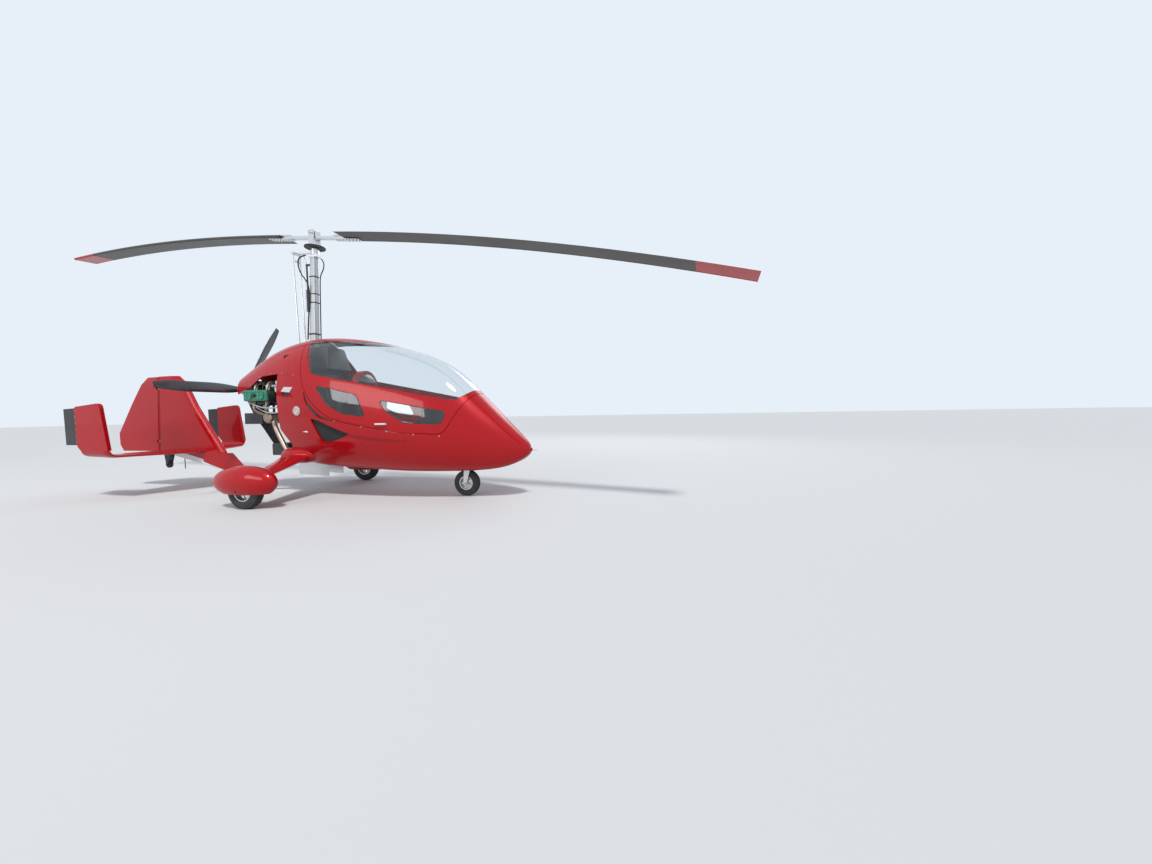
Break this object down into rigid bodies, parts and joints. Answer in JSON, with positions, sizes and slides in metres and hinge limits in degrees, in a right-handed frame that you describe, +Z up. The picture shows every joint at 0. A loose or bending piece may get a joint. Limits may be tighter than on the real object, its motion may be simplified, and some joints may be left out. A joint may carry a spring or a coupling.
{
  "type": "two-seat tandem gyrocopter with an enclosed cabin",
  "caption": "Tandem gyrocopter with a side-hinged clear canopy, pusher propeller, free-turning rotor on a mast, spatted wheels and a low tail with outer fins.",
  "frame": {"origin": "on the ground, midway between the tips of the parked rotor", "axes": "+X forward to the nose, +Y to port, +Z up"},
  "size_m": [8.6336, 1.7698, 3.075],
  "materials": {
    "red_gloss": "glossy metallic red paint on composite",
    "clear": "clear acrylic",
    "grey_metal": "satin grey",
    "bare_alloy": "brushed alloy",
    "steel": "satin steel",
    "white_paint": "white painted alloy",
    "black_plastic": "matt black",
    "black_metal": "black coated alloy",
    "dark_panel": "dark grey laminate",
    "engine_grey": "dark cast alloy",
    "cover_green": "green enamel",
    "cream_alloy": "cream coated alloy",
    "exhaust_steel": "heat tinted steel",
    "seat_cover": "dark grey cloth",
    "tyre": "matt black rubber",
    "rubber": "black rubber",
    "blade_grey": "dark anodised alloy",
    "tip_red": "red paint",
    "prop_black": "black composite",
    "lamp_white": "white lens"
  },
  "bodies": {
    "airframe": {"keel_beam": "white_paint", "gear_legs": "red_gloss", "hull": "red_gloss", "upper_cowl": "red_gloss", "mast": "grey_metal", "control_rods": "bare_alloy", "cabin_floor": "dark_panel", "rear_bulkhead": "dark_panel", "firewall": "bare_alloy", "seats": "dark_panel", "front_seat_cushion": "seat_cover", "rear_seat_cushion": "seat_cover", "headrest_arch": "red_gloss", "instrument_pod": "black_plastic", "control_sticks": "black_metal", "nose_strut": "grey_metal", "axle_carriers": "steel", "spats": "red_gloss", "tail_fin": "red_gloss", "stabiliser": "red_gloss", "outer_fins": "red_gloss", "fin_panels": "black_plastic", "tail_bracket": "grey_metal", "aerial_rod": "black_metal", "engine_block": "engine_grey", "valve_covers": "cover_green", "intake": "cream_alloy", "exhaust": "exhaust_steel", "radiator": "black_metal", "oil_cooler": "black_metal", "engine_mount": "steel", "rotor_gimbal": "bare_alloy", "canopy_hinge": "steel", "rudder_hinges": "steel", "pitot_tube": "steel", "side_lamps": "lamp_white"},
    "main_wheel_left": {"main_rim_left": "bare_alloy", "main_tyre_left": "tyre"},
    "main_wheel_right": {"main_rim_right": "bare_alloy", "main_tyre_right": "tyre"},
    "nose_leg": {"nose_fork": "bare_alloy"},
    "nose_wheel": {"nose_rim": "bare_alloy", "nose_tyre": "tyre"},
    "tail_bumper": {"tail_wheel": "rubber"},
    "rudder_leaf": {"rudder": "red_gloss"},
    "canopy": {"canopy_frame": "red_gloss", "canopy_bubble": "clear", "side_windows": "clear", "canopy_latch": "white_paint", "canopy_ears": "steel"},
    "propeller": {"prop_hub": "bare_alloy", "prop_blades": "prop_black"},
    "rotor_head": {"rotor_tower": "bare_alloy", "ring_gear": "black_metal"},
    "rotor": {"hub_bar": "bare_alloy", "rotor_blades": "blade_grey", "blade_tips": "tip_red"}
  },
  "joints": [
    {"name": "main_wheel_left_turn", "type": "hinge", "parent": "airframe", "child": "main_wheel_left", "pos_m": [-0.11, 0.78, 0.165], "axis": [0, 1, 0], "continuous": true},
    {"name": "main_wheel_right_turn", "type": "hinge", "parent": "airframe", "child": "main_wheel_right", "pos_m": [-0.11, -0.78, 0.165], "axis": [0, 1, 0], "continuous": true},
    {"name": "rudder_swing", "type": "hinge", "parent": "airframe", "child": "rudder_leaf", "pos_m": [-2.245, 0, 0.44], "axis": [0.0625, 0, 0.998], "range_deg": [-28, 28]},
    {"name": "nose_steer", "type": "hinge", "parent": "airframe", "child": "nose_leg", "pos_m": [1.7, 0, 0.3], "axis": [0, 0, 1], "range_deg": [-28, 28]},
    {"name": "nose_wheel_turn", "type": "hinge", "parent": "nose_leg", "child": "nose_wheel", "pos_m": [1.66, 0, 0.131], "axis": [0, 1, 0], "continuous": true},
    {"name": "tail_wheel_turn", "type": "hinge", "parent": "airframe", "child": "tail_bumper", "pos_m": [-2.12, 0, 0.288], "axis": [0, 1, 0], "continuous": true},
    {"name": "canopy_open", "type": "hinge", "parent": "airframe", "child": "canopy", "pos_m": [0.9, 0.424, 0.716], "axis": [-1, 0, 0], "range_deg": [0, 75]},
    {"name": "propeller_turn", "type": "hinge", "parent": "airframe", "child": "propeller", "pos_m": [-0.966, 0, 1.14], "axis": [1, 0, 0], "continuous": true},
    {"name": "rotor_turn", "type": "hinge", "parent": "airframe", "child": "rotor_head", "pos_m": [0.012, 0, 2.6], "axis": [0, 0, 1], "continuous": true},
    {"name": "rotor_teeter", "type": "hinge", "parent": "rotor_head", "child": "rotor", "pos_m": [0.012, 0, 2.748], "axis": [-0.1357, -0.9907, 0], "range_deg": [0, 16.8]}
  ],
  "couplings": [
    {"joint": "nose_steer", "follows": "rudder_swing", "ratio": -0.8}
  ]
}
